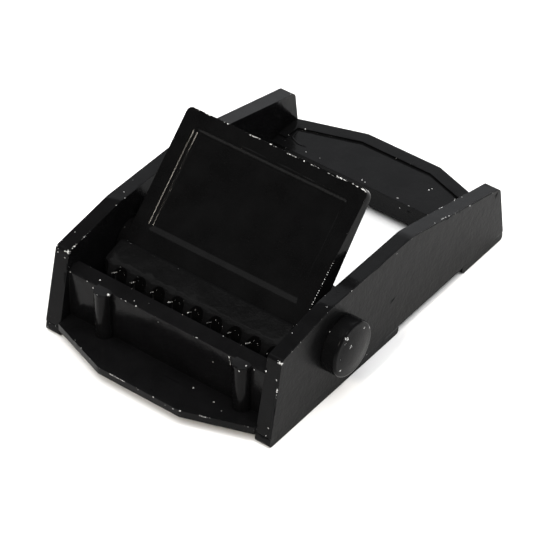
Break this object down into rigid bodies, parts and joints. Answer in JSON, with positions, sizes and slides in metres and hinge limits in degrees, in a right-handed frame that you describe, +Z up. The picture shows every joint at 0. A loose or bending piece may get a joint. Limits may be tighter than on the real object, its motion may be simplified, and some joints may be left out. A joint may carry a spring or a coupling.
{
  "type": "cam buckle",
  "caption": "Die-cast cam buckle: a channel frame with a webbing bar, and a sprung lever whose toothed nose grips the strap against a jaw wall.",
  "frame": {"origin": "middle of the buckle in X and Y, on the plane its feet rest on", "axes": "+X across the webbing towards the rivet head, +Y from the front lip to the rear webbing bar, +Z up"},
  "size_m": [0.0338, 0.049, 0.0196],
  "materials": {
    "frame_coat": "gloss black electrocoat on a zinc casting",
    "lever_coat": "gloss black electrocoat on a zinc casting",
    "rivet_coat": "semi-gloss black coat on a steel rivet",
    "spring_steel": "drawn spring wire"
  },
  "bodies": {
    "frame": {"frame_casting": "frame_coat", "pivot_rivet": "rivet_coat", "torsion_spring": "spring_steel"},
    "lever": {"cam_lever": "lever_coat"}
  },
  "joints": [
    {"name": "lever_pivot", "type": "hinge", "parent": "frame", "child": "lever", "pos_m": [-0.00069, -0.00945, 0.00648], "axis": [1, 0, 0], "range_deg": [-42, 0], "stiffness_Nm_per_rad": 0.03, "springref_deg": 28.65, "deforming": ["torsion_spring"]}
  ]
}
